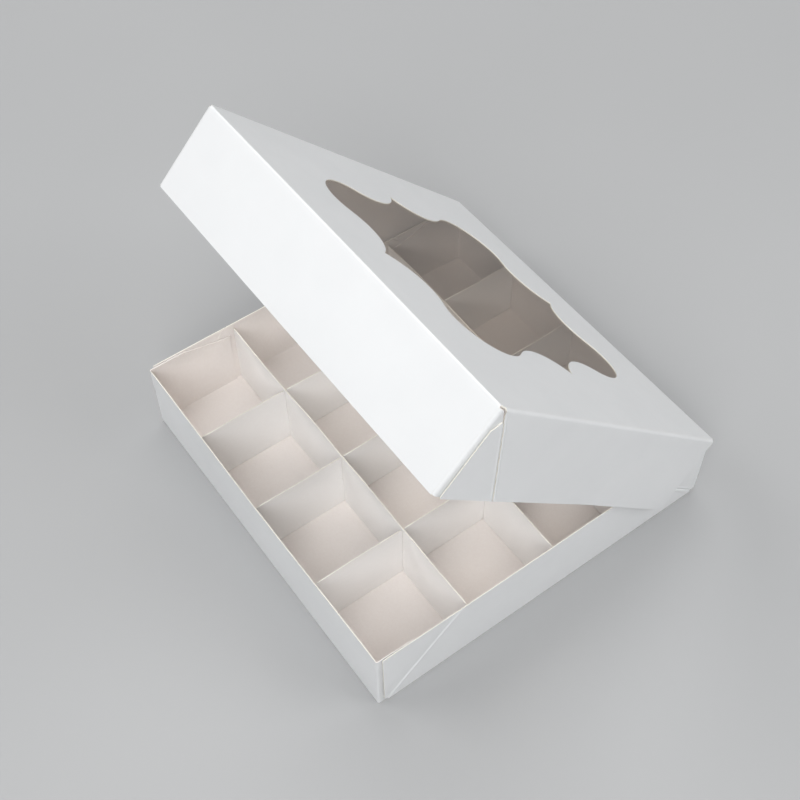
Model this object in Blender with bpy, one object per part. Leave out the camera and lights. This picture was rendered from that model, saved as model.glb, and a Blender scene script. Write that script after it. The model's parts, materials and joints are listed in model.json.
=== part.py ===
"""Folding-board carton: tray with a slotted divider grid and a hinged, windowed lid.

Metres, +Z up, the tray's underside on z = 0 and its centre on the Z axis. X runs along the
hinge, -Y is the front, +Y the hinge side. The lid is built closed, then turned open.
"""
import bpy
import bmesh
from math import atan2, cos, pi, radians, sin, sqrt
from mathutils import Matrix, Vector

MM = 0.001

# board and clearances
BOARD = 0.45 * MM
SEAM = 0.15 * MM            # slit left at each crease or glued face
STAND_OFF = 0.30 * MM       # slack where a loose piece meets its neighbour

# tray
TRAY_X = 177.0 * MM
TRAY_Y = 176.0 * MM
TRAY_H = 38.5 * MM
RAW_EDGE_INSET = 2.5 * MM   # side wall's cut edge stands this far in from the corner
CORNER_RELIEF = 4.0 * MM    # cut-away foot of each corner triangle
FLAP_LENGTH = 41.0 * MM
FLAP_SLOPE = 5.0 * MM       # flap's top edge falls this far along its length
FLAP_TOP_DROP = 0.8 * MM

# divider set
CELLS = 4
LONG_DROP = 2.4 * MM        # long strips end this far under the rim
CROSS_DROP = 3.2 * MM
SLOT_WIDTH = 1.05 * MM
SLOT_MOUTH = 1.9 * MM       # flare at the open end of a slot
SLOT_FLARE_DEPTH = 1.6 * MM

# lid
OPEN_ANGLE = radians(45.0)
LID_HALF_X = 89.7 * MM
LID_DEPTH = 176.5 * MM      # hinge line to the outside of the front wall
LID_WALL_END = -37.6 * MM   # lower edge of the lid's walls, below the hinge line
LID_LIFT = 0.30 * MM        # closed lid's underside above the rim
CREASE_REACH = 0.80 * MM    # hinge line to the panel's rear edge
BACK_WALL_DROP = 0.30 * MM
REAR_CORNER_R = 5.0 * MM
TOP_RELIEF = 5.0 * MM       # notch at the top of the lid's front corners

# window: four round lobes joined by hollow arcs that meet in a point mid-side
WINDOW_TIP_X = 59.5 * MM
WINDOW_TIP_Y = 63.0 * MM
LOBE_X = 37.3 * MM
LOBE_Y = 40.0 * MM
LOBE_R = 18.0 * MM
HOLLOW_OFFSET = 18.5 * MM   # a hollow arc's centre, along its side from the point
FILM_MARGIN = 7.0 * MM
FILM_THICK = 0.20 * MM
ARC_STEPS = 7

HINGE_Y = TRAY_Y / 2 - BOARD - LID_LIFT
HINGE_Z = TRAY_H

COATED_BOARD = ("coated_board", (0.86, 0.87, 0.87, 1.0), 0.45)
LID_BOARD = ("lid_board", (0.84, 0.86, 0.87, 1.0), 0.40)
DIVIDER_BOARD = ("divider_board", (0.87, 0.86, 0.84, 1.0), 0.55)
CLEAR_FILM = ("clear_film", (0.90, 0.92, 0.92, 1.0), 0.06)


def clear_scene():
    for obj in list(bpy.data.objects):
        bpy.data.objects.remove(obj, do_unlink=True)


def make_material(name, colour, roughness):
    mat = bpy.data.materials.get(name)
    if mat:
        return mat
    mat = bpy.data.materials.new(name)
    mat.use_nodes = True
    shader = mat.node_tree.nodes["Principled BSDF"]
    shader.inputs["Base Color"].default_value = colour
    shader.inputs["Roughness"].default_value = roughness
    shader.inputs["Metallic"].default_value = 0.0
    if name == CLEAR_FILM[0]:
        shader.inputs["Transmission Weight"].default_value = 0.9
    return mat


def add_object(name, bm, board, parent=None, smooth=False):
    bmesh.ops.recalc_face_normals(bm, faces=bm.faces[:])
    mesh = bpy.data.meshes.new(name)
    bm.to_mesh(mesh)
    bm.free()
    for poly in mesh.polygons:
        poly.use_smooth = smooth
    obj = bpy.data.objects.new(name, mesh)
    bpy.context.collection.objects.link(obj)
    obj.data.materials.append(make_material(*board))
    obj.parent = parent
    return obj


def sheet(name, outline, place, thick, board, parent=None):
    """Close a flat sheet: place(u, v, w) maps the outline (u, v) and depth w to metres."""
    bm = bmesh.new()
    near = [bm.verts.new(place(u, v, 0.0)) for u, v in outline]
    far = [bm.verts.new(place(u, v, thick)) for u, v in outline]
    count = len(outline)
    bm.faces.new(near)
    bm.faces.new(far[::-1])
    for i in range(count):
        j = (i + 1) % count
        bm.faces.new((near[i], far[i], far[j], near[j]))
    return add_object(name, bm, board, parent)


def rectangle(u0, v0, u1, v1):
    return [(u0, v0), (u1, v0), (u1, v1), (u0, v1)]


def facing_x(x):
    """Sheet standing across X, its outline in (y, z)."""
    return lambda u, v, w: Vector((x + w, u, v))


def facing_y(y):
    """Sheet standing across Y, its outline in (x, z)."""
    return lambda u, v, w: Vector((u, y + w, v))


def facing_z(z):
    """Sheet lying flat, its outline in (x, y)."""
    return lambda u, v, w: Vector((u, v, z + w))


def low_x(side, outer):
    """Lower x of a sheet whose outer face is at side * outer."""
    return outer - BOARD if side > 0 else -outer


# ---------------------------------------------------------------- tray

FLOOR_TOP = BOARD
WALL_FOOT = FLOOR_TOP + SEAM
FLAP_OUTER_X = TRAY_X / 2 - BOARD - SEAM
SLIT = SEAM * sqrt(2.0)     # a diagonal slit, measured level


def build_tray_floor():
    half_x, half_y = TRAY_X / 2, TRAY_Y / 2
    sheet("base_floor", rectangle(-half_x, -half_y, half_x, half_y), facing_z(0.0), BOARD,
          COATED_BOARD)


def build_tray_ends():
    front = rectangle(-FLAP_OUTER_X, WALL_FOOT, FLAP_OUTER_X, TRAY_H)
    sheet("base_front_wall", front, facing_y(-TRAY_Y / 2), BOARD, COATED_BOARD)
    back = rectangle(-FLAP_OUTER_X, WALL_FOOT, FLAP_OUTER_X, TRAY_H - BACK_WALL_DROP)
    sheet("base_back_wall", back, facing_y(TRAY_Y / 2 - BOARD), BOARD, COATED_BOARD)


def build_tray_side(label, side):
    """Side wall between its diagonal creases, with a corner triangle outside each."""
    place = facing_x(low_x(side, TRAY_X / 2))
    reach = TRAY_Y / 2 - RAW_EDGE_INSET
    rise = TRAY_H - WALL_FOOT
    middle = [(-reach, WALL_FOOT), (reach, WALL_FOOT),
              (reach - rise, TRAY_H), (rise - reach, TRAY_H)]
    sheet(f"base_{label}_wall", middle, place, BOARD, COATED_BOARD)
    foot = WALL_FOOT + CORNER_RELIEF
    for end, way in (("front", -1), ("rear", 1)):
        corner = [(way * reach, foot), (way * (reach - CORNER_RELIEF + SLIT), foot),
                  (way * (reach - rise + SLIT), TRAY_H), (way * reach, TRAY_H)]
        sheet(f"base_gusset_{end}_{label}", corner, place, BOARD, COATED_BOARD)


def build_tray_flaps(label, side):
    """Glue flaps of the front and back walls, lying inside the side wall."""
    place = facing_x(low_x(side, FLAP_OUTER_X))
    start = TRAY_Y / 2 - BOARD - SEAM
    stop = start - FLAP_LENGTH
    for end, way in (("front", -1), ("rear", 1)):
        top = TRAY_H - FLAP_TOP_DROP
        outline = [(way * start, WALL_FOOT), (way * start, top),
                   (way * stop, top - FLAP_SLOPE), (way * stop, WALL_FOOT)]
        sheet(f"base_flap_{end}_{label}", outline, place, BOARD, COATED_BOARD)


# ---------------------------------------------------------------- dividers

STRIP_FOOT = FLOOR_TOP + STAND_OFF
LONG_TOP = TRAY_H - LONG_DROP
CROSS_TOP = TRAY_H - CROSS_DROP
SLOT_MEET = (STRIP_FOOT + CROSS_TOP) / 2
LONG_HALF = TRAY_X / 2 - BOARD - STAND_OFF
CROSS_HALF = TRAY_Y / 2 - BOARD - STAND_OFF


def cell_lines(length):
    return [length * (i / CELLS - 0.5) for i in range(1, CELLS)]


def slotted_strip(half, closed_edge, open_edge, slot_end, centres):
    """Strip outline: a straight closed edge, and flared slots cut in from the open edge."""
    way = 1 if slot_end > open_edge else -1
    flare = open_edge + way * SLOT_FLARE_DEPTH
    outline = [(half, closed_edge), (-half, closed_edge), (-half, open_edge)]
    for c in centres:
        outline += [(c - SLOT_MOUTH / 2, open_edge), (c - SLOT_WIDTH / 2, flare),
                    (c - SLOT_WIDTH / 2, slot_end), (c + SLOT_WIDTH / 2, slot_end),
                    (c + SLOT_WIDTH / 2, flare), (c + SLOT_MOUTH / 2, open_edge)]
    outline.append((half, open_edge))
    return outline


def build_dividers():
    gap = SEAM
    along_x, along_y = cell_lines(TRAY_X), cell_lines(TRAY_Y)
    long_outline = slotted_strip(LONG_HALF, LONG_TOP, STRIP_FOOT, SLOT_MEET + gap, along_x)
    cross_outline = slotted_strip(CROSS_HALF, STRIP_FOOT, CROSS_TOP, SLOT_MEET - gap, along_y)
    for number, y in enumerate(along_y, 1):
        sheet(f"long_divider_{number}", long_outline, facing_y(y - BOARD / 2), BOARD,
              DIVIDER_BOARD)
    for number, x in enumerate(along_x, 1):
        sheet(f"cross_divider_{number}", cross_outline, facing_x(x - BOARD / 2), BOARD,
              DIVIDER_BOARD)


# ---------------------------------------------------------------- lid, closed, about its hinge line

PANEL_UNDER = LID_LIFT
PANEL_TOP = PANEL_UNDER + BOARD
LID_WALL_TOP = PANEL_UNDER - SEAM
LID_FLAP_OUTER_X = LID_HALF_X - BOARD - SEAM / 2
WINDOW_Y = -LID_DEPTH / 2


def arc_points(cx, cy, radius, start, stop, steps):
    return [(cx + radius * cos(start + (stop - start) * i / steps),
             cy + radius * sin(start + (stop - start) * i / steps)) for i in range(steps + 1)]


def hollow_arc(tip, lobe_along, lobe_out):
    """Centre distance and radius of the arc from a side's point to a lobe it touches."""
    slope = (tip - lobe_out) / LOBE_R
    base = (lobe_along ** 2 - 2 * lobe_along * HOLLOW_OFFSET + lobe_out ** 2 - tip ** 2
            - LOBE_R ** 2) / (2 * LOBE_R)
    a = slope ** 2 - 1
    b = 2 * (slope * base + tip)
    c = base ** 2 - HOLLOW_OFFSET ** 2 - tip ** 2
    out = (-b + sqrt(b * b - 4 * a * c)) / (2 * a)
    return out, base + slope * out


def window_quarter():
    """Outline from the right-hand point, round one lobe, to the point at the front."""
    out_x, r_x = hollow_arc(WINDOW_TIP_X, LOBE_Y, LOBE_X)
    out_y, r_y = hollow_arc(WINDOW_TIP_Y, LOBE_X, LOBE_Y)
    side_c, end_c = (out_x, HOLLOW_OFFSET), (HOLLOW_OFFSET, out_y)
    first = atan2(LOBE_Y - side_c[1], LOBE_X - side_c[0])
    tip_a = atan2(-side_c[1], WINDOW_TIP_X - side_c[0]) % (2 * pi)
    points = arc_points(*side_c, r_x, tip_a, first % (2 * pi), ARC_STEPS)
    lobe_from = atan2(side_c[1] - LOBE_Y, side_c[0] - LOBE_X)
    lobe_to = atan2(end_c[1] - LOBE_Y, end_c[0] - LOBE_X)
    points += arc_points(LOBE_X, LOBE_Y, LOBE_R, lobe_from, lobe_to, ARC_STEPS + 3)[1:]
    meet = atan2(LOBE_Y - end_c[1], LOBE_X - end_c[0])
    tip_b = atan2(WINDOW_TIP_Y - end_c[1], -end_c[0])
    points += arc_points(*end_c, r_y, meet % (2 * pi), tip_b % (2 * pi), ARC_STEPS)[1:]
    return points


def window_outline():
    quarter = window_quarter()
    ring = quarter[:-1]
    ring += [(-x, y) for x, y in quarter[:0:-1]]
    ring += [(-x, -y) for x, y in quarter[:-1]]
    ring += [(x, -y) for x, y in quarter[:0:-1]]
    return [(x, WINDOW_Y + y) for x, y in ring]


def build_lid_panel(parent):
    outline = rectangle(-LID_HALF_X, -LID_DEPTH, LID_HALF_X, -CREASE_REACH)
    panel = sheet("lid_panel", outline, facing_z(PANEL_UNDER), BOARD, LID_BOARD, parent)
    cutter = sheet("window_cutter", window_outline(), facing_z(PANEL_UNDER - 2 * MM), 5 * MM,
                   LID_BOARD, parent)
    cutter.hide_render = True
    cutter.display_type = "WIRE"
    cut = panel.modifiers.new("window", "BOOLEAN")
    cut.operation = "DIFFERENCE"
    cut.solver = "EXACT"
    cut.object = cutter


def build_window_film(parent):
    half_x = WINDOW_TIP_X + FILM_MARGIN
    half_y = WINDOW_TIP_Y + FILM_MARGIN
    outline = rectangle(-half_x, WINDOW_Y - half_y, half_x, WINDOW_Y + half_y)
    under = PANEL_UNDER - SEAM / 2 - FILM_THICK
    sheet("window_film", outline, facing_z(under), FILM_THICK, CLEAR_FILM, parent)


def build_lid_front(parent):
    outline = rectangle(-LID_FLAP_OUTER_X, LID_WALL_END, LID_FLAP_OUTER_X, LID_WALL_TOP)
    sheet("lid_front_wall", outline, facing_y(-LID_DEPTH), BOARD, LID_BOARD, parent)


def build_lid_side(label, side, parent):
    """Side wall behind its diagonal crease, the triangle before it, and the glue flap."""
    place = facing_x(low_x(side, LID_HALF_X))
    front = -LID_DEPTH + RAW_EDGE_INSET
    rear = -CREASE_REACH
    drop = LID_WALL_TOP - LID_WALL_END
    rounded = arc_points(rear - REAR_CORNER_R, LID_WALL_END + REAR_CORNER_R, REAR_CORNER_R,
                         -pi / 2, 0.0, ARC_STEPS)
    wall = [(front, LID_WALL_TOP), (front + drop, LID_WALL_END)] + rounded
    wall.append((rear, LID_WALL_TOP))
    sheet(f"lid_{label}_wall", wall, place, BOARD, LID_BOARD, parent)
    notch = LID_WALL_TOP - TOP_RELIEF
    corner = [(front, notch), (front, LID_WALL_END), (front + drop - SLIT, LID_WALL_END),
              (front + TOP_RELIEF - SLIT, notch)]
    sheet(f"lid_gusset_{label}", corner, place, BOARD, LID_BOARD, parent)
    flap_front = -LID_DEPTH + BOARD + SEAM
    flap_rear = flap_front + FLAP_LENGTH
    flap = [(flap_front, LID_WALL_TOP), (flap_front, LID_WALL_END + FLAP_TOP_DROP),
            (flap_rear, LID_WALL_END + FLAP_TOP_DROP + FLAP_SLOPE), (flap_rear, LID_WALL_TOP)]
    sheet(f"lid_flap_{label}", flap, facing_x(low_x(side, LID_FLAP_OUTER_X)), BOARD,
          LID_BOARD, parent)


def build_hinge_crease():
    """Board bent round the hinge line, from the back wall's top to the open lid's rear edge."""
    foot = -BACK_WALL_DROP + SEAM
    reach = CREASE_REACH - SEAM
    end = pi / 2 - OPEN_ANGLE
    outline = []
    for radius, way in ((LID_LIFT, 1), (LID_LIFT + BOARD, -1)):
        line = [(radius, foot)] + arc_points(0.0, 0.0, radius, 0.0, end, ARC_STEPS)
        line.append((radius * cos(end) - reach * sin(end),
                     radius * sin(end) + reach * cos(end)))
        outline += line[::way]
    half = FLAP_OUTER_X - STAND_OFF

    def place(u, v, w):
        return Vector((-half + w, HINGE_Y + u, HINGE_Z + v))
    sheet("hinge_crease", outline, place, 2 * half, LID_BOARD)


def build_lid():
    """Everything on the lid hangs from one empty on the hinge line, turned to the open pose."""
    hinge = bpy.data.objects.new("lid_hinge_line", None)
    bpy.context.collection.objects.link(hinge)
    build_lid_panel(hinge)
    build_window_film(hinge)
    build_lid_front(hinge)
    build_lid_side("left", -1, hinge)
    build_lid_side("right", 1, hinge)
    hinge.matrix_world = (Matrix.Translation((0.0, HINGE_Y, HINGE_Z))
                          @ Matrix.Rotation(-OPEN_ANGLE, 4, "X"))


def main():
    clear_scene()
    build_tray_floor()
    build_tray_ends()
    for label, side in (("left", -1), ("right", 1)):
        build_tray_side(label, side)
        build_tray_flaps(label, side)
    build_dividers()
    build_hinge_crease()
    build_lid()


main()
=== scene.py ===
"""Looks for the windowed folding carton: every panel rebuilt as a scored, bent sheet of board.

A sheet is made from its middle surface and then given its thickness, so that a panel has a
coated outside, a plainer inside and a cream cut edge. The tray is built where it stands. The lid
is built closed, about its hinge line, and turned to its rest angle. Places and overall sizes come
from the frame.
"""

import json
import math

import bpy
import numpy as np
from mathutils import Matrix, Quaternion, Vector


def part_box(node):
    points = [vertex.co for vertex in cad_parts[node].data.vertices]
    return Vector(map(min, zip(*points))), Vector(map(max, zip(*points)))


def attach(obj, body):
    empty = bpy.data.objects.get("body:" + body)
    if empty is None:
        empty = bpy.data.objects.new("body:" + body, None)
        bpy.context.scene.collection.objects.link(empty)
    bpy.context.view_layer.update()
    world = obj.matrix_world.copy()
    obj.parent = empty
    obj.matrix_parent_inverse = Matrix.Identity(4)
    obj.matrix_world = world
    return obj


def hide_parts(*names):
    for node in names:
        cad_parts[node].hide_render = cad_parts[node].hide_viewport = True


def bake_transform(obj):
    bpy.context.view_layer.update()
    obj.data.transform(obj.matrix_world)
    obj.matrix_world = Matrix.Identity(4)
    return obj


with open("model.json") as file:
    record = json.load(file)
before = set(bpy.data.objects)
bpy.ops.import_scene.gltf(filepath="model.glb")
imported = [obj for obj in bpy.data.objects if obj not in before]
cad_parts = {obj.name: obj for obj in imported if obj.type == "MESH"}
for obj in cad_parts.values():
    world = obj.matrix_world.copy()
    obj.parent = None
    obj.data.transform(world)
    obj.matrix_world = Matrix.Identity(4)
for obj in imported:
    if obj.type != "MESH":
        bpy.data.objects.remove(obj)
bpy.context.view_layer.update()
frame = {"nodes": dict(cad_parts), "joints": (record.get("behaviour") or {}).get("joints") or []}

MM = 0.001

# ---------------------------------------------------------------- measures read from the frame


def span(node):
    """Lowest and highest corner of a CAD node at rest, as arrays."""
    low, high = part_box(node)
    return np.array(low), np.array(high)


joint = frame["joints"][0]
HINGE = np.array(joint["pos_m"])
OPEN_ANGLE = math.radians(-joint["range_deg"][0])
LID_TURN = np.array(Matrix.Rotation(-OPEN_ANGLE, 3, "X"))


def closed_span(node):
    """Box of a lid node in the closed lid's own axes, about the hinge line."""
    points = np.array([v.co for v in frame["nodes"][node].data.vertices], float)
    turned = (points - HINGE) @ LID_TURN
    return turned.min(0), turned.max(0)


FLAP_EASE = 0.25 * MM       # tray flaps stand this far off their walls at the corner
LID_EASE = 0.25 * MM        # and the lid is this much looser round the tray

floor_low, floor_high = span("base_floor")
BOARD = floor_high[2] - floor_low[2]
HALF_X, HALF_Y = floor_high[0], floor_high[1]
RIM = span("base_left_wall")[1][2]
SIDE_MID = HALF_X - BOARD / 2
END_MID = HALF_Y - BOARD / 2
FLAP_MID = sum(side[0] for side in span("base_flap_front_right")) / 2 - FLAP_EASE
RAW_EDGE = span("base_gusset_front_right")[0][1]

panel_low, panel_high = closed_span("lid_panel")
PANEL_MID = (panel_low[2] + panel_high[2]) / 2
LID_SIDE_MID = panel_high[0] - BOARD / 2 + LID_EASE
LID_FRONT_MID = panel_low[1] + BOARD / 2
LID_FRONT = LID_FRONT_MID - BOARD / 2
LID_FLAP_MID = sum(side[0] for side in closed_span("lid_flap_right")) / 2 + LID_EASE
LID_FLAP_REAR = closed_span("lid_flap_right")[1][1]
LID_FOOT = closed_span("lid_front_wall")[0][2]
LID_REAR = closed_span("lid_right_wall")[1][1]

# ---------------------------------------------------------------- shapes of folded board

BEND = 0.75 * MM            # middle radius of a folded crease
CORNER_BEND = 1.15 * MM     # the same at the lid's front corners
FRONT_BEND = 0.55 * MM      # at its front edge
SIDE_BEND = 1.05 * MM       # and at its side edges
FOLD_STEPS = 9              # points across a fold

BEAD = 0.13 * MM            # height of the two raised lines beside a scored crease
BEAD_OFF = 0.60 * MM        # their distance from it
BEAD_WIDE = 0.32 * MM
REAR_SCORE = 1.6            # the tray's rear corners and the lid were creased harder
LID_SCORE = 1.3
CRACK = 0.40 * MM           # the lid's diagonal creases have cracked open this far
# points beside a scored crease: distances from it, close together where the beads are
NEAR_CREASE = [i * 0.15 * MM for i in range(15)] + [2.5 * MM, 3.0 * MM, 3.8 * MM]
CORNER_STEPS = 9            # points across the rest of a corner triangle
FOLD_ZONE = 2.0 * MM        # beside a fold, where beads and slack fade out

FLOOR_CROWN = 0.15 * MM     # how far each panel is out of flat, at most
FRONT_BOW = 0.50 * MM
SIDE_BOW = 0.35 * MM
LID_FRONT_BOW = 0.30 * MM
LID_CROWN = 0.55 * MM
SIDE_DRIFT = 0.03 * MM      # irregular part of that on a tray side wall
LID_DRIFT = 0.04 * MM       # and on a lid side wall

PROUD = 0.30 * MM           # how far a corner triangle's cut edge stands off its flap
PROUD_RUN = 8.0 * MM
PROUD_TOP = 14.0 * MM
CUT_LOW = 0.7 * MM          # foot of a tray side wall: slanting cut across its corner
CUT_HIGH = 4.0 * MM
CUT_IN = 2.4 * MM
GUSSET_FOOT = 2.1 * MM      # lowest edge of a tray corner triangle
FOOT_GAP = 0.30 * MM        # tray flap's lower edge above the table
FLAP_DROP = 0.30 * MM       # its top edge under the rim
FLAP_FALL = 5.2 * MM        # and how far that edge falls towards the flap's end
FLAP_LEVEL = 0.28           # after this share of the length
FLAP_LEAN = 0.33 * MM       # how far the flap leans out to its wall behind the fold
FLAP_CURL = {-1: -0.40 * MM, 1: -0.10 * MM}     # curl of its top edge, left and right

NOTCH = 5.2 * MM            # top of a lid side wall: slit along the crease, then a slant
NOTCH_END = 9.0 * MM
NOTCH_IN = 3.3 * MM
SLIT = 0.6 * MM
CREASE_START = 1.3 * MM     # lid's diagonal crease, from the front wall's outside
CREASE_SLOPE = 0.91
LID_CUT = 2.1 * MM          # raw edge of the lid's corner triangle, from the same face
LID_CORNER_R = 6.0 * MM     # lower rear corner of a lid side wall
LID_FLARE = 1.60 * MM       # how far that corner stands out
LID_OFFSET = 0.12 * MM      # slack of the lid's side walls on their flaps
TUCK = 0.45 * MM            # pull inwards beside the top of the lid's diagonal crease
TUCK_RUN = 1.5 * MM
TUCK_DEPTH = 4.0 * MM
LID_BEAD_TOP = 3.0 * MM     # depth at which that crease's beads are full
LID_FLAP_GAP = 0.4 * MM     # lid flap's lower edge above the lid's own
LID_FLAP_RISE = 5.0 * MM    # and how far that edge rises towards the flap's end
CREASE_BACK = 1.0 * MM      # bending strip's share of the back wall
CREASE_LID = 1.8 * MM       # and of the lid panel


def face_normal(points, face):
    """Normal from the diagonals of a quad, or of four even corners of a larger face."""
    a, b, c, d = (points[i] for i in face[::len(face) // 4])
    return np.cross(c - a, d - b)


def thicken(points, faces, thick):
    """Close a middle surface into a sheet.

    Returns its vertices, its faces, each face's kind (0 outside, 1 inside, 2 cut edge) and the
    middle surface's own open edges.
    """
    count = len(points)
    normals = np.zeros_like(points)
    for face in faces:
        normal = face_normal(points, face)
        for i in face:
            normals[i] += normal
    normals /= np.linalg.norm(normals, axis=1)[:, None]
    vertices = np.vstack([points + normals * thick / 2, points - normals * thick / 2])
    edges = {}
    for face in faces:
        for a, b in zip(face, face[1:] + face[:1]):
            if edges.pop((b, a), None) is None:
                edges[(a, b)] = True
    closed = list(faces) + [tuple(i + count for i in face[::-1]) for face in faces]
    closed += [(b, a, a + count, b + count) for a, b in edges]
    kinds = [0] * len(faces) + [1] * len(faces) + [2] * len(edges)
    return vertices, closed, kinds, list(edges)


def grid(columns, rows, place, skip=lambda i, j: False):
    """Middle surface as a grid: place(i, j) gives each point, skip leaves a cell out."""
    points = [place(i, j) for j in range(rows) for i in range(columns)]
    faces = [(j * columns + i, j * columns + i + 1, (j + 1) * columns + i + 1,
              (j + 1) * columns + i)
             for j in range(rows - 1) for i in range(columns - 1) if not skip(i, j)]
    used = sorted({i for face in faces for i in face})
    number = {old: new for new, old in enumerate(used)}
    kept = np.array([points[i] for i in used], float)
    return kept, [tuple(number[i] for i in face) for face in faces]


def facing(points, faces, outside):
    """Turn the faces so that their shared normal points to the outside given."""
    total = np.zeros(3)
    for face in faces:
        total += face_normal(points, face)
    return faces if total @ np.array(outside) > 0 else [face[::-1] for face in faces]


def board_piece(name, surface, outside, materials, thick=BOARD, relief=None):
    """Mesh object of one sheet, a material for each kind of face. Relief shifts both faces."""
    points, faces = surface
    faces = facing(points, faces, outside)
    vertices, closed, kinds, rim = thicken(points, faces, thick)
    if relief is not None:
        vertices += np.vstack([relief, relief])
    mesh = bpy.data.meshes.new(name)
    mesh.from_pydata([tuple(v) for v in vertices], [], closed)
    for material in materials:
        mesh.materials.append(material)
    mesh.polygons.foreach_set("material_index", [min(k, len(materials) - 1) for k in kinds])
    mesh.polygons.foreach_set("use_smooth", [True] * len(kinds))
    mesh.validate()
    sharp = {frozenset(edge) for edge in rim}
    sharp |= {frozenset((a + len(points), b + len(points))) for a, b in rim}
    for edge in mesh.edges:
        edge.use_edge_sharp = frozenset(edge.vertices) in sharp
    mesh.update()
    piece = bpy.data.objects.new(name, mesh)
    bpy.context.scene.collection.objects.link(piece)
    return piece


def stand_in(piece, node, body):
    """Show this piece in place of a CAD node, on its body."""
    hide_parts(node)
    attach(piece, body)


def smooth_step(value):
    value = min(max(value, 0.0), 1.0)
    return value * value * (3 - 2 * value)


def score_profile(distance, along, size):
    """Outside of a scored line: an uneven bead each side of a shallow groove."""
    uneven = 1 + 0.25 * math.sin(along * 1500.0) * math.sin(along * 610.0 + 1.0)
    off, wide = BEAD_OFF * size, BEAD_WIDE * size
    near = math.exp(-((abs(distance) - off) / wide) ** 2)
    return BEAD * size * uneven * (near - math.exp(-(distance / wide) ** 2))


def wander(along, seed, size):
    """Small irregular drift that no folded sheet is without."""
    slow = math.sin(along * 61.0 + seed * 1.7) + 0.6 * math.sin(along * 143.0 + seed * 2.9)
    return size * (slow + 0.35 * math.sin(along * 317.0 + seed * 4.1))


def quarter_bend(radius=BEND):
    """Points (along, up) of a fold that starts level and ends upright, along measured out."""
    return [(radius * math.sin(a), radius * (1 - math.cos(a)))
            for a in np.linspace(0, math.pi / 2, FOLD_STEPS)]


def spaced(start, stop, count):
    return [float(v) for v in np.linspace(start, stop, count)]


# ---------------------------------------------------------------- materials


def new_material(name):
    material = bpy.data.materials.new(name)
    material.use_nodes = True
    tree = material.node_tree
    return material, tree, tree.nodes["Principled BSDF"]


def noise(tree, scale, detail=3.0, rough=0.5, stretch=None):
    """Noise in the object's own metres, stretched along its axes if asked."""
    coords = tree.nodes.new("ShaderNodeTexCoord")
    texture = tree.nodes.new("ShaderNodeTexNoise")
    texture.inputs["Scale"].default_value = scale
    texture.inputs["Detail"].default_value = detail
    texture.inputs["Roughness"].default_value = rough
    if stretch:
        mapping = tree.nodes.new("ShaderNodeMapping")
        mapping.inputs["Scale"].default_value = stretch
        tree.links.new(coords.outputs["Object"], mapping.inputs["Vector"])
        tree.links.new(mapping.outputs["Vector"], texture.inputs["Vector"])
    else:
        tree.links.new(coords.outputs["Object"], texture.inputs["Vector"])
    return texture.outputs["Fac"]


def between(tree, factor, low, high):
    """Spread the middle of a noise, where nearly all of it lies, over a range."""
    ramp = tree.nodes.new("ShaderNodeMapRange")
    ramp.inputs["From Min"].default_value = 0.3
    ramp.inputs["From Max"].default_value = 0.7
    ramp.inputs["To Min"].default_value = low
    ramp.inputs["To Max"].default_value = high
    tree.links.new(factor, ramp.inputs["Value"])
    return ramp.outputs["Result"]


def two_tone(tree, factor, dark, light):
    mix = tree.nodes.new("ShaderNodeMix")
    mix.data_type = "RGBA"
    mix.inputs["A"].default_value = (*dark, 1.0)
    mix.inputs["B"].default_value = (*light, 1.0)
    tree.links.new(between(tree, factor, 0.0, 1.0), mix.inputs["Factor"])
    return mix.outputs["Result"]


def add_bump(tree, shader, layers):
    """Chain of bumps: each layer is a height, its strength and its depth in metres."""
    last = None
    for height, strength, depth in layers:
        bump = tree.nodes.new("ShaderNodeBump")
        bump.inputs["Strength"].default_value = strength
        bump.inputs["Distance"].default_value = depth
        tree.links.new(height, bump.inputs["Height"])
        if last:
            tree.links.new(last, bump.inputs["Normal"])
        last = bump.outputs["Normal"]
    tree.links.new(last, shader.inputs["Normal"])


def coated_board():
    """Clay-coated outside: nearly white, faintly cool, a satin skin over fine fibre."""
    material, tree, shader = new_material("coated_board")
    cloud = noise(tree, 35.0, 4.0)
    tree.links.new(two_tone(tree, cloud, (0.805, 0.816, 0.825), (0.832, 0.842, 0.850)),
                   shader.inputs["Base Color"])
    tree.links.new(between(tree, noise(tree, 260.0), 0.38, 0.50), shader.inputs["Roughness"])
    shader.inputs["Specular IOR Level"].default_value = 0.45
    shader.inputs["Coat Weight"].default_value = 0.12
    shader.inputs["Coat Roughness"].default_value = 0.30
    add_bump(tree, shader, [(noise(tree, 55.0, 2.0), 0.25, 0.00012),
                            (noise(tree, 2400.0, 4.0, 0.6), 0.10, 0.00002)])
    return material


def plain_board():
    """Uncoated inside of tray and lid: warm white, matt, visible fibre."""
    material, tree, shader = new_material("plain_board")
    fibre = noise(tree, 900.0, 6.0, 0.65, (1.0, 1.0, 0.45))
    tree.links.new(two_tone(tree, fibre, (0.868, 0.818, 0.786), (0.898, 0.855, 0.826)),
                   shader.inputs["Base Color"])
    tree.links.new(between(tree, fibre, 0.68, 0.82), shader.inputs["Roughness"])
    shader.inputs["Specular IOR Level"].default_value = 0.30
    add_bump(tree, shader, [(noise(tree, 60.0, 2.0), 0.30, 0.00012),
                            (fibre, 0.22, 0.00004)])
    return material


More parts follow.
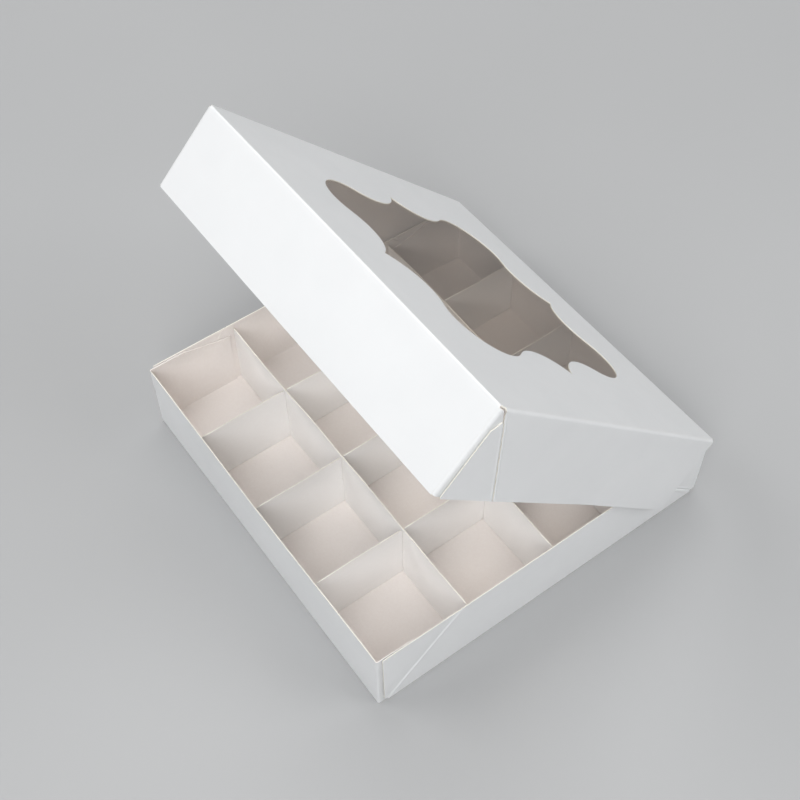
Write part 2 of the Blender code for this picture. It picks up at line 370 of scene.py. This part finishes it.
def divider_board():
    """Divider strips: smooth white both sides, less coat than the box."""
    material, tree, shader = new_material("divider_board")
    fibre = noise(tree, 1100.0, 5.0, 0.6, (0.5, 0.5, 1.0))
    tree.links.new(two_tone(tree, fibre, (0.925, 0.910, 0.896), (0.945, 0.934, 0.922)),
                   shader.inputs["Base Color"])
    tree.links.new(between(tree, fibre, 0.52, 0.64), shader.inputs["Roughness"])
    shader.inputs["Specular IOR Level"].default_value = 0.35
    add_bump(tree, shader, [(noise(tree, 45.0, 2.0), 0.25, 0.00012),
                            (fibre, 0.15, 0.00003)])
    return material


def cut_edge():
    """Die-cut edge: bare cream fibre in fine layers."""
    material, tree, shader = new_material("cut_edge")
    fibre = noise(tree, 1800.0, 6.0, 0.7)
    tree.links.new(two_tone(tree, fibre, (0.850, 0.820, 0.730), (0.925, 0.905, 0.845)),
                   shader.inputs["Base Color"])
    shader.inputs["Roughness"].default_value = 0.85
    shader.inputs["Specular IOR Level"].default_value = 0.25
    add_bump(tree, shader, [(fibre, 0.5, 0.00005)])
    return material


def clear_film(name, tint):
    """Thin film: see-through but for the tint given, which can hold painted shade, with more gloss
    at a glancing view.
    """
    material, tree, shader = new_material(name)
    tree.nodes.remove(shader)
    gloss = tree.nodes.new("ShaderNodeBsdfGlossy")
    tree.links.new(between(tree, noise(tree, 40.0), 0.09, 0.14), gloss.inputs["Roughness"])
    add_bump(tree, gloss, [(noise(tree, 14.0, 1.0), 0.10, 0.0002)])
    clear = tree.nodes.new("ShaderNodeBsdfTransparent")
    clear.inputs["Color"].default_value = (*tint, 1.0)
    facing_away = tree.nodes.new("ShaderNodeLayerWeight")
    facing_away.inputs["Blend"].default_value = 0.5
    glance = tree.nodes.new("ShaderNodeMath")
    glance.operation = "POWER"
    glance.inputs[1].default_value = 5.0
    share = tree.nodes.new("ShaderNodeMath")
    share.operation = "MULTIPLY_ADD"
    share.inputs[1].default_value = 0.38
    share.inputs[2].default_value = 0.03
    mix = tree.nodes.new("ShaderNodeMixShader")
    tree.links.new(facing_away.outputs["Facing"], glance.inputs[0])
    tree.links.new(glance.outputs["Value"], share.inputs[0])
    tree.links.new(share.outputs["Value"], mix.inputs["Fac"])
    tree.links.new(clear.outputs["BSDF"], mix.inputs[1])
    tree.links.new(gloss.outputs["BSDF"], mix.inputs[2])
    tree.links.new(mix.outputs["Shader"], tree.nodes["Material Output"].inputs["Surface"])
    return material


COATED, PLAIN, DIVIDER = coated_board(), plain_board(), divider_board()
# window film: its warm tint is mostly painted shade, darkening the lid-shaded cells seen through
# it; the film's own faint tint is the glued film's
EDGE, SHADE_TINTED_FILM = cut_edge(), clear_film("clear_film", (0.922, 0.893, 0.865))
GLUED_FILM = clear_film("glued_film", (0.990, 0.988, 0.985))
BOX_BOARD = (COATED, PLAIN, EDGE)
STRIP_BOARD = (DIVIDER, DIVIDER, EDGE)

# ---------------------------------------------------------------- tray


def make_floor():
    """Floor panel between its four folds, lifted a hair in the middle."""
    half_x, half_y, steps = SIDE_MID - BEND, END_MID - BEND, 49
    xs, ys = spaced(-half_x, half_x, steps), spaced(-half_y, half_y, steps)

    def place(i, j):
        crown = (1 - (xs[i] / half_x) ** 2) * (1 - (ys[j] / half_y) ** 2)
        return (xs[i], ys[j], BOARD / 2 + FLOOR_CROWN * crown)
    surface = grid(steps, steps, place)
    piece = board_piece("base_floor_sheet", surface, (0, 0, -1), BOX_BOARD)
    stand_in(piece, "base_floor", "tray")


def end_wall(name, way, top, bow):
    """Front or back wall with the fold at its foot. It bows a little along its top edge."""
    half = FLAP_MID - BEND
    xs = spaced(-half, half, 61)
    path = [(END_MID - BEND + along, BOARD / 2 + up) for along, up in quarter_bend()]
    path += [(END_MID, z) for z in spaced(BOARD / 2 + BEND, top, 22)[1:]]

    def place(i, j):
        along, z = path[j]
        share = smooth_step((z - BOARD) / (RIM - BOARD))
        out = bow * math.cos(math.pi / 2 * xs[i] / half) ** 2 * share
        return (xs[i], way * (along + out), z)
    surface = grid(len(xs), len(path), place)
    piece = board_piece(f"{name}_sheet", surface, (0, way, 0), BOX_BOARD)
    stand_in(piece, name, "tray")


def tray_side_out(along, z, seed):
    """How far a tray side wall stands out of its flat plane: bow, proud corners and beads."""
    reach = -RAW_EDGE
    past = (abs(along) + (z - BOARD) - reach) / math.sqrt(2)
    share = smooth_step((z - BOARD) / (RIM - BOARD))
    bow = SIDE_BOW * math.cos(math.pi / 2 * along / reach) * share
    held = 1 - 0.85 * smooth_step((z - PROUD_TOP) / (RIM - PROUD_TOP))
    proud = PROUD * smooth_step(past / PROUD_RUN) * held
    size = 1.0 if along < 0 else REAR_SCORE
    bead = score_profile(past, z, size) * smooth_step(z / FOLD_ZONE)
    return bow + proud + bead + wander(along + z, seed, SIDE_DRIFT) * share


def tray_cut(z):
    """How far in from the raw edge the slanting cut has taken the board at this height."""
    return max(0.0, CUT_IN * (CUT_HIGH - z) / (CUT_HIGH - CUT_LOW))


def side_wall(label, side):
    """Middle of a side wall, from the fold at its foot to the rim, between its diagonals."""
    reach = -RAW_EDGE
    path = [(SIDE_MID - BEND + along, BOARD / 2 + up) for along, up in quarter_bend()]
    path += [(SIDE_MID, z) for z in spaced(BOARD / 2 + BEND, RIM, 34)[1:]]
    between_creases = 30

    def place(i, j):
        out, z = path[j]
        start = reach - max(z - BOARD, tray_cut(max(z, CUT_LOW)))
        steps = [start - near for near in NEAR_CREASE]
        inner = spaced(steps[-1], -steps[-1], between_creases + 2)[1:-1]
        y = (steps + inner + [-s for s in reversed(steps)])[i]
        lean = tray_side_out(y, z, side) * smooth_step((z - BOARD) / BEND)
        return (side * (out + lean), y, z)
    surface = grid(2 * len(NEAR_CREASE) + between_creases, len(path), place)
    piece = board_piece(f"base_{label}_wall_sheet", surface, (side, 0, 0), BOX_BOARD)
    stand_in(piece, f"base_{label}_wall", "tray")


def corner_columns(diagonal, cut):
    """Places across a corner triangle, close together beside its crease."""
    room = diagonal - cut
    scale = min(1.0, room / (1.3 * NEAR_CREASE[-1]))
    near = [diagonal - n * scale for n in NEAR_CREASE]
    return near + spaced(near[-1], cut, CORNER_STEPS)[1:]


def tray_gusset(end, way, label, side):
    """Corner triangle of a side wall, outside the diagonal crease."""
    zs = spaced(GUSSET_FOOT, CUT_HIGH, 6) + spaced(CUT_HIGH, RIM, 30)[1:]

    def place(i, j):
        z = zs[j]
        y = way * (-RAW_EDGE - corner_columns(z - BOARD, tray_cut(z))[i])
        return (side * (SIDE_MID + tray_side_out(y, z, side)), y, z)
    name = f"base_gusset_{end}_{label}"
    surface = grid(len(NEAR_CREASE) + CORNER_STEPS - 1, len(zs), place)
    piece = board_piece(f"{name}_sheet", surface, (side, 0, 0), BOX_BOARD)
    stand_in(piece, name, "tray")


def tray_flap(end, way, label, side):
    """Glue flap: turns the corner from the end wall and lies against the side wall."""
    low, high = span(f"base_flap_{end}_{label}")
    length = high[1] - low[1]
    path = [(FLAP_MID - BEND + along, END_MID - up) for along, up in quarter_bend()]
    path += [(FLAP_MID, y) for y in spaced(END_MID - BEND, END_MID - length, 24)[1:]]
    rows = 18

    def place(i, j):
        x, inward = path[i]
        share = smooth_step((END_MID - inward - FOLD_ZONE) / (length - FOLD_ZONE))
        top = RIM - FLAP_DROP - FLAP_FALL * max(0.0, (share - FLAP_LEVEL) / (1 - FLAP_LEVEL))
        z = FOOT_GAP + (top - FOOT_GAP) * j / (rows - 1)
        curl = math.exp(-((share - 0.22) / 0.08) ** 2) + 1.3 * math.exp(-((share - 1) / 0.1) ** 2)
        lean = FLAP_CURL[side] * curl * (j / (rows - 1)) ** 5
        lean += FLAP_LEAN * smooth_step(share * 5)
        return (side * (x + lean), way * inward, z)
    name = f"base_flap_{end}_{label}"
    surface = grid(len(path), rows, place)
    piece = board_piece(f"{name}_sheet", surface, (side, way, 0), (COATED, PLAIN, PLAIN))
    stand_in(piece, name, "tray")


# ---------------------------------------------------------------- divider strips

SLOT_HALF = 0.42 * MM       # half a slot's width
SLOT_FLARE = 0.55 * MM      # and what each side gains at the mouth
FLARE_DEPTH = 1.8 * MM
SWAY_SIGNS = (1, -1, 1, 1, -1)
CELL_BOW = 0.30 * MM        # bow of a strip in one cell
STRIP_DRIFT = 0.10 * MM     # and its drift along its length


def strip_sway(along, strip, half):
    """Sideways wander of a strip: still at the crossings, bowed a little in each cell."""
    cell = half / 2
    wave = math.sin(math.pi * along / cell) ** 2
    pick = SWAY_SIGNS[(strip + int((along + half) // cell)) % len(SWAY_SIGNS)]
    return CELL_BOW * pick * wave + STRIP_DRIFT * math.sin(along * 90 + strip * 2.1)


def divider(name, number, along_x):
    """Strip with slots flared at the mouth: cut from below if it runs along X, or from above."""
    low, high = span(name)
    open_up = not along_x
    axis, across = (0, 1) if along_x else (1, 0)
    half = high[axis]
    middle = (low[across] + high[across]) / 2
    meet = (low[2] + high[2]) / 2
    pitch = (HALF_X if along_x else HALF_Y) / 2
    zs = sorted(spaced(low[2], high[2], 10) + [meet])
    mouth = high[2] if open_up else low[2]
    if open_up:
        zs = sorted(zs + [mouth - FLARE_DEPTH])
    ends = [-half, -pitch, 0.0, pitch, half]
    plan = [(-half, 0)]     # columns: place along the strip, and which side of a slot
    for a, b in zip(ends, ends[1:]):
        plan += [(v, 0) for v in spaced(a, b, 12)[1:-1]]
        plan += [(b, -1), (b, 1)] if b < half else [(b, 0)]

    def place(i, j):
        (along, way), z = plan[i], zs[j]
        near = max(0.0, 1 - abs(mouth - z) / FLARE_DEPTH)
        along += way * (SLOT_HALF + SLOT_FLARE * near)
        up = (z - low[2]) / (high[2] - low[2])
        sway = strip_sway(along, number, half) * (0.35 + 0.65 * up)
        point = [0.0, 0.0, z]
        point[axis], point[across] = along, middle + sway
        return tuple(point)

    def skip(i, j):
        return plan[i][1] == -1 and (zs[j] > meet - 1e-9) == open_up
    outside = (0, -1, 0) if along_x else (1, 0, 0)
    surface = grid(len(plan), len(zs), place, skip)
    piece = board_piece(f"{name}_strip", surface, outside, STRIP_BOARD)
    stand_in(piece, name, "tray")


# ---------------------------------------------------------------- lid, in its closed axes


def opened(surface):
    """Turn a surface built on the closed lid into the rest pose."""
    points, faces = surface
    return points @ LID_TURN.T + HINGE, faces


def lid_piece(node, surface, outside, materials=BOX_BOARD, thick=BOARD,
              relief=None):
    """Piece of the lid from its surface on the closed lid. Relief is along X, the hinge's way."""
    out = LID_TURN @ np.array(outside, float)
    piece = board_piece(f"{node}_sheet", opened(surface), out, materials, thick, relief)
    stand_in(piece, node, "lid")
    return piece


# window: four round lobes joined by hollow arcs that meet in a point mid-side
WINDOW_TIP_X = 59.5 * MM
WINDOW_TIP_Y = 63.0 * MM
LOBE_X = 37.3 * MM
LOBE_Y = 40.0 * MM
LOBE_R = 18.0 * MM
HOLLOW_OFFSET = 18.5 * MM   # a hollow arc's centre, along its side from the point
ARC_STEPS = 14
PANEL_CENTRE_Y = panel_low[1] / 2

FILM_THICK = 0.12 * MM
FILM_GAP = 0.01 * MM        # film under the panel it is glued to
FILM_SAG = 0.30 * MM        # its sag inside the window
FILM_RIPPLE = 0.15 * MM
FILM_FREE = 25.0 * MM       # reached this far in from the window's edge
FILM_INSIDE = (0.03, 0.10, 0.20, 0.30, 0.40, 0.50, 0.60, 0.70, 0.79, 0.87, 0.94, 1.0)
FILM_MARGIN = (0.25, 0.5, 0.75, 1.0)        # rings of points: shares of the way out
PANEL_RINGS = (0.0, 0.02, 0.06, 0.14, 0.28, 0.45, 0.62, 0.78, 0.9, 0.97, 1.0)


def hollow_arc(tip, lobe_along, lobe_out):
    """Centre distance and radius of the arc from a side's point to the lobe it touches."""
    slope = (tip - lobe_out) / LOBE_R
    base = (lobe_along ** 2 - 2 * lobe_along * HOLLOW_OFFSET + lobe_out ** 2 - tip ** 2
            - LOBE_R ** 2) / (2 * LOBE_R)
    a = slope ** 2 - 1
    b = 2 * (slope * base + tip)
    c = base ** 2 - HOLLOW_OFFSET ** 2 - tip ** 2
    out = (-b + math.sqrt(b * b - 4 * a * c)) / (2 * a)
    return out, base + slope * out


def arc(centre, radius, start, stop, steps):
    return [(centre[0] + radius * math.cos(a), centre[1] + radius * math.sin(a))
            for a in np.linspace(start, stop, steps + 1)]


def window_quarter():
    """Outline from the side's point, round one lobe, to the next side's point."""
    full = 2 * math.pi
    out_x, r_x = hollow_arc(WINDOW_TIP_X, LOBE_Y, LOBE_X)
    out_y, r_y = hollow_arc(WINDOW_TIP_Y, LOBE_X, LOBE_Y)
    side, end, lobe = (out_x, HOLLOW_OFFSET), (HOLLOW_OFFSET, out_y), (LOBE_X, LOBE_Y)

    def heading(a, b):
        return math.atan2(b[1] - a[1], b[0] - a[0])
    points = arc(side, r_x, heading(side, (WINDOW_TIP_X, 0)) % full,
                 heading(side, lobe) % full, ARC_STEPS)
    points += arc(lobe, LOBE_R, heading(lobe, side), heading(lobe, end), 2 * ARC_STEPS)[1:]
    points += arc(end, r_y, heading(end, lobe) % full,
                  heading(end, (0, WINDOW_TIP_Y)) % full, ARC_STEPS)[1:]
    return points


def rectangle_quarter(half_x, half_y, count):
    """Points round a rectangle's quarter, one for each point of the window's quarter."""
    first = count // 2
    rising = [(half_x, half_y * i / first) for i in range(first)]
    rest = count - 1 - first
    return rising + [(half_x * (1 - i / rest), half_y) for i in range(rest + 1)]


def mirrored(quarter):
    """Whole closed outline from its first quarter, which starts and ends on the axes."""
    ring = quarter[:-1] + [(-x, y) for x, y in quarter[:0:-1]]
    return ring + [(-x, -y) for x, y in quarter[:-1]] + [(x, -y) for x, y in quarter[:0:-1]]


def lid_crown(x, y):
    """Height of the lid panel's gentle crown over its flat plane."""
    u, v = x / LID_SIDE_MID, (y - PANEL_CENTRE_Y) / PANEL_CENTRE_Y
    return LID_CROWN * max(0.0, 1 - u * u) * max(0.0, 1 - v * v)


def ring_faces(rings, count):
    """Faces between each closed ring of points and the next one out."""
    return [(ring * count + i, (ring + 1) * count + i, (ring + 1) * count + (i + 1) % count,
             ring * count + (i + 1) % count) for ring in range(rings - 1) for i in range(count)]


def make_lid_panel():
    """Panel as rings from the window's cut outline to the folds round it."""
    quarter = window_quarter()
    low_y, high_y = LID_FRONT_MID + FRONT_BEND, -CREASE_LID
    half_x, half_y = LID_SIDE_MID - SIDE_BEND, (high_y - low_y) / 2
    centre = (high_y + low_y) / 2
    inner = [(x, PANEL_CENTRE_Y + y) for x, y in mirrored(quarter)]
    outer = [(x, centre + y) for x, y in mirrored(rectangle_quarter(half_x, half_y, len(quarter)))]
    points = []
    for share in PANEL_RINGS:
        for (ax, ay), (bx, by) in zip(inner, outer):
            x, y = ax + (bx - ax) * share, ay + (by - ay) * share
            points.append((x, y, PANEL_MID + lid_crown(x, y)))
    faces = ring_faces(len(PANEL_RINGS), len(inner))
    lid_piece("lid_panel", (np.array(points), faces), (0, 0, 1))


def film_slack(x, y, rim):
    """Sag and ripple of the film here. Distances to the rim are from the window's centre."""
    free = smooth_step(np.hypot(rim[:, 0] - x, rim[:, 1] - y).min() / FILM_FREE)
    ripple = math.sin(x * 75 + 0.6) * math.sin((y + PANEL_CENTRE_Y) * 61 + 1.1)
    return (FILM_RIPPLE * ripple - FILM_SAG) * free


def make_window_film():
    """Film glued flat to the panel all round the window, and a little slack inside it."""
    low, high = closed_span("window_film")
    quarter = window_quarter()
    rim = np.array(mirrored(quarter))
    outer = np.array(mirrored(rectangle_quarter(high[0], (high[1] - low[1]) / 2, len(quarter))))
    level = PANEL_MID - BOARD / 2 - FILM_THICK / 2 - FILM_GAP
    points = [(x, y, film_slack(x, y, rim)) for share in FILM_INSIDE for x, y in rim * share]
    points += [(x, y, 0.0) for share in FILM_MARGIN for x, y in rim + (outer - rim) * share]
    points = [(x, PANEL_CENTRE_Y + y, level + lid_crown(x, PANEL_CENTRE_Y + y) + slack)
              for x, y, slack in points]
    faces = [tuple(range(len(rim)))]
    faces += ring_faces(len(FILM_INSIDE) + len(FILM_MARGIN), len(rim))
    # inside the window the film is tinted with painted shade; where glued, it keeps only its own
    # faint tint
    piece = lid_piece("window_film", (np.array(points), faces), (0, 0, 1),
                      (SHADE_TINTED_FILM, SHADE_TINTED_FILM, GLUED_FILM), FILM_THICK)
    glued = 1 + (len(FILM_INSIDE) - 1) * len(rim)
    for first in (0, len(faces)):       # upper and lower side
        for number in range(first + glued, first + len(faces)):
            piece.data.polygons[number].material_index = 2


def make_lid_front():
    """Front wall of the lid with the fold at its top. It bows a little along its lower edge."""
    half = LID_FLAP_MID - CORNER_BEND
    xs = spaced(-half, half, 61)
    fold = quarter_bend(FRONT_BEND)
    path = [(-(LID_FRONT_MID + FRONT_BEND) + along, PANEL_MID - up) for along, up in fold]
    path += [(-LID_FRONT_MID, z) for z in spaced(PANEL_MID - FRONT_BEND, LID_FOOT, 22)[1:]]

    def place(i, j):
        out, z = path[j]
        share = smooth_step((PANEL_MID - z) / (PANEL_MID - LID_FOOT))
        bow = LID_FRONT_BOW * math.cos(math.pi / 2 * xs[i] / half) * share
        return (xs[i], -(out + bow), z)
    lid_piece("lid_front_wall", grid(len(xs), len(path), place), (0, -1, 0))


def lid_crease(depth):
    """Where a side wall's diagonal crease runs at this depth below the panel."""
    return LID_FRONT + CREASE_START + CREASE_SLOPE * depth


def lid_cut(depth):
    """Front cut edge of a corner triangle: a slant below the slit, then nearly straight."""
    slant = NOTCH_IN * (NOTCH_END - depth) / (NOTCH_END - NOTCH)
    return LID_FRONT + LID_CUT + 0.03 * (depth - NOTCH_END) + max(0.0, slant)


def lid_side_out(y, z, seed):
    """How far a lid side wall stands out of its plane."""
    depth = PANEL_MID - z
    past = (lid_crease(depth) - y) / math.hypot(1, CREASE_SLOPE)
    share = smooth_step(depth / (PANEL_MID - LID_FOOT))
    back = (y - LID_FRONT) / (LID_REAR - LID_FRONT)
    bow = SIDE_BOW * math.sin(math.pi * back) * share
    loose = LID_FLARE * smooth_step((back - 0.55) / 0.45) * share
    tuck = TUCK * math.exp(-max(0.0, -past) / TUCK_RUN) * smooth_step(depth / FOLD_ZONE)
    tuck *= 1 - smooth_step((depth - TUCK_DEPTH) / TUCK_DEPTH)
    drift = wander(y - z, seed, LID_DRIFT) * share
    return LID_OFFSET + bow + loose - tuck + drift


def lid_relief(surface, side):
    """Shift of every point near the diagonal crease into the beads beside a score."""
    shift = np.zeros_like(surface[0])
    for row, (_, y, z) in zip(shift, surface[0]):
        depth = PANEL_MID - z
        past = (lid_crease(depth) - y) / math.hypot(1, CREASE_SLOPE)
        row[0] = side * score_profile(past, z, LID_SCORE) * smooth_step(depth / LID_BEAD_TOP)
    return shift


def lid_side(label, side):
    """Side wall behind the diagonal crease, its lower rear corner cut round."""
    fold = quarter_bend(SIDE_BEND)
    path = [(LID_SIDE_MID - SIDE_BEND + along, up) for along, up in fold]
    path += [(LID_SIDE_MID, depth) for depth in spaced(SIDE_BEND, NOTCH, 7)[1:]]
    slit_end = NOTCH + 0.1 * MM
    path += [(LID_SIDE_MID, depth) for depth in spaced(slit_end, PANEL_MID - LID_FOOT, 34)]
    behind_crease = 40

    def place(i, j):
        out, depth = path[j]
        z = PANEL_MID - depth
        start = lid_crease(depth)
        if depth <= NOTCH:
            start += SLIT * (1 - 0.6 * depth / NOTCH)
        else:
            start += CRACK * (1 + 0.35 * math.sin(z * 2100.0) * math.sin(z * 830.0 + 1.0))
        over = max(0.0, LID_FOOT + LID_CORNER_R - z)
        rear = LID_REAR - (LID_CORNER_R - math.sqrt(max(LID_CORNER_R ** 2 - over ** 2, 0.0)))
        steps = [start + near for near in NEAR_CREASE]
        y = (steps + spaced(steps[-1], rear, behind_crease + 1)[1:])[i]
        lean = lid_side_out(y, z, side) * smooth_step(depth / SIDE_BEND)
        return (side * (out + lean), y, z)
    surface = grid(len(NEAR_CREASE) + behind_crease, len(path), place)
    lid_piece(f"lid_{label}_wall", surface, (side, 0, 0), relief=lid_relief(surface, side))


def lid_gusset(label, side):
    """Front corner triangle of the lid's side wall, its top cut away."""
    depths = spaced(NOTCH, NOTCH_END, 8) + spaced(NOTCH_END, PANEL_MID - LID_FOOT, 28)[1:]

    def place(i, j):
        depth = depths[j]
        z = PANEL_MID - depth
        y = corner_columns(lid_crease(depth), lid_cut(depth))[i]
        return (side * (LID_SIDE_MID + lid_side_out(y, z, side)), y, z)
    surface = grid(len(NEAR_CREASE) + CORNER_STEPS - 1, len(depths), place)
    lid_piece(f"lid_gusset_{label}", surface, (side, 0, 0), relief=lid_relief(surface, side))


def lid_flap(label, side):
    """Glue flap of the lid's front wall, turned in behind the corner triangle."""
    start = -LID_FRONT_MID
    fold = quarter_bend(CORNER_BEND)
    path = [(LID_FLAP_MID - CORNER_BEND + along, start - up) for along, up in fold]
    bent = start - CORNER_BEND
    sloped = bent - 6 * MM      # past the slant of the top edge
    path += [(LID_FLAP_MID, y) for y in spaced(bent, sloped, 13)[1:]]
    path += [(LID_FLAP_MID, y) for y in spaced(sloped, -LID_FLAP_REAR, 20)[1:]]
    rows = 18

    def place(i, j):
        x, forward = path[i]
        back = start - forward
        share = smooth_step((back - FOLD_ZONE) / (start + LID_FLAP_REAR))
        foot = LID_FOOT + LID_FLAP_GAP + LID_FLAP_RISE * share
        top = PANEL_MID - BEND - min(max(0.0, back - CORNER_BEND), NOTCH)
        return (side * x, -forward, top + (foot - top) * j / (rows - 1))
    lid_piece(f"lid_flap_{label}", grid(len(path), rows, place), (side, -1, 0))


# ---------------------------------------------------------------- hinge crease


def make_hinge_crease():
    """Board that bends between the back wall and the lid, following both."""
    radius = END_MID - HINGE[1]
    turn = math.pi / 2 - OPEN_ANGLE
    # (along Y, up) from the hinge line: up the back wall, round the fold, up the lid panel
    path = [(radius, z) for z in spaced(-CREASE_BACK, 0.0, 5)[:-1]]
    path += [(radius * math.cos(a), radius * math.sin(a)) for a in spaced(0.0, turn, 9)]
    tip = path[-1]
    path += [(tip[0] - math.sin(turn) * d, tip[1] + math.cos(turn) * d)
             for d in spaced(0.0, CREASE_LID, 7)[1:]]
    tray_half, lid_half = FLAP_MID - BEND, LID_SIDE_MID - SIDE_BEND
    shares = spaced(-1.0, 1.0, 81)

    def place(i, j):
        # it widens round the fold, from the back wall's width to the panel's
        half = tray_half + (lid_half - tray_half) * smooth_step((j - 4) / 6)
        return (half * shares[i], HINGE[1] + path[j][0], HINGE[2] + path[j][1])
    surface = grid(len(shares), len(path), place)
    piece = board_piece("hinge_crease_sheet", surface, (0, 1, 1), BOX_BOARD)
    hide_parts("hinge_crease")
    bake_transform(piece)


# ---------------------------------------------------------------- build


def build():
    make_floor()
    end_wall("base_front_wall", -1, RIM, FRONT_BOW)
    end_wall("base_back_wall", 1, RIM - CREASE_BACK, 0.0)
    for label, side in (("left", -1), ("right", 1)):
        side_wall(label, side)
        for end, way in (("front", -1), ("rear", 1)):
            tray_gusset(end, way, label, side)
            tray_flap(end, way, label, side)
        lid_side(label, side)
        lid_gusset(label, side)
        lid_flap(label, side)
    for number in (1, 2, 3):
        divider(f"long_divider_{number}", number, True)
        divider(f"cross_divider_{number}", number + 3, False)
    make_lid_panel()
    make_window_film()
    make_lid_front()
    make_hinge_crease()


build()

# ---------------------------------------------------------------- floor, light and camera

FLOOR_REACH, FLOOR_SIDES = 2.3, 64
LAMP_SIZE, LAMP_DISTANCE = 1.6, 2.8
LAMP_AIM = Vector((0.0, 0.0, 0.04))
LAMPS = (("front_left", -135, 40, 24.0), ("front_right", -45, 40, 43.0),
         ("high_right", -45, 68, 15.0), ("rear_right", 45, 40, 24.0),
         ("high_left", 135, 68, 31.0))      # degrees round from +X, degrees up, watts
WORLD_LIGHT, WORLD_SEEN = 0.02, 0.36
CAMERA_PLACE = Vector((259.3, -198.6, 482.8)) * MM
CAMERA_TARGET = Vector((5.3, -16.7, 60.0)) * MM
CAMERA_ROLL = math.radians(-0.58)
CAMERA_LENS, CAMERA_SENSOR = 56.68, 36.0


def make_stage():
    """Plain pale floor, a large disc."""
    mesh = bpy.data.meshes.new("studio_floor")
    ring = [2 * math.pi * i / FLOOR_SIDES for i in range(FLOOR_SIDES)]
    mesh.from_pydata([(FLOOR_REACH * math.cos(a), FLOOR_REACH * math.sin(a), 0) for a in ring],
                     [], [tuple(range(FLOOR_SIDES))])
    material, tree, shader = new_material("studio_floor")
    tree.links.new(two_tone(tree, noise(tree, 3.0, 2.0), (0.415, 0.42, 0.425),
                            (0.44, 0.445, 0.45)), shader.inputs["Base Color"])
    shader.inputs["Roughness"].default_value = 0.9
    mesh.materials.append(material)
    floor = bpy.data.objects.new("studio_floor", mesh)
    bpy.context.scene.collection.objects.link(floor)


def aim_at(thing, place, target):
    """Put a lamp or camera here, looking at the target. Returns its direction."""
    thing.location = place
    thing.rotation_mode = "QUATERNION"
    thing.rotation_quaternion = (target - place).to_track_quat("-Z", "Y")
    return thing.rotation_quaternion.copy()


def soft_light(name, azimuth, elevation, power):
    """Large square lamp at this bearing, in degrees, from the aim point."""
    data = bpy.data.lights.new(name, "AREA")
    data.shape = "RECTANGLE"
    data.size = data.size_y = LAMP_SIZE
    data.energy = power
    lamp = bpy.data.objects.new(name, data)
    a, e = math.radians(azimuth), math.radians(elevation)
    bearing = Vector((math.cos(e) * math.cos(a), math.cos(e) * math.sin(a), math.sin(e)))
    aim_at(lamp, LAMP_AIM + LAMP_DISTANCE * bearing, LAMP_AIM)
    bpy.context.scene.collection.objects.link(lamp)


def background(node, colour, strength):
    node.inputs["Color"].default_value = (*colour, 1.0)
    node.inputs["Strength"].default_value = strength
    return node.outputs["Background"]


def make_world():
    """Surroundings that light the box very little, and look pale to the camera."""
    world = bpy.data.worlds.new("studio")
    world.use_nodes = True
    tree = world.node_tree
    dim = background(tree.nodes["Background"], (0.94, 0.97, 1.0), WORLD_LIGHT)
    pale = background(tree.nodes.new("ShaderNodeBackground"), (0.98, 0.99, 1.0), WORLD_SEEN)
    seen = tree.nodes.new("ShaderNodeLightPath")
    mix = tree.nodes.new("ShaderNodeMixShader")
    tree.links.new(seen.outputs["Is Camera Ray"], mix.inputs["Fac"])
    tree.links.new(dim, mix.inputs[1])
    tree.links.new(pale, mix.inputs[2])
    tree.links.new(mix.outputs["Shader"], tree.nodes["World Output"].inputs["Surface"])
    bpy.context.scene.world = world


def make_camera():
    data = bpy.data.cameras.new("camera")
    data.sensor_width = CAMERA_SENSOR
    data.lens = CAMERA_LENS
    data.clip_start = 0.01
    camera = bpy.data.objects.new("camera", data)
    aim = aim_at(camera, CAMERA_PLACE, CAMERA_TARGET)
    camera.rotation_quaternion = aim @ Quaternion((0, 0, 1), CAMERA_ROLL)
    bpy.context.scene.collection.objects.link(camera)
    bpy.context.scene.camera = camera


make_stage()
for lamp_settings in LAMPS:
    soft_light(*lamp_settings)
make_world()
make_camera()
bpy.context.scene.view_settings.view_transform = "Standard"
bpy.context.view_layer.update()
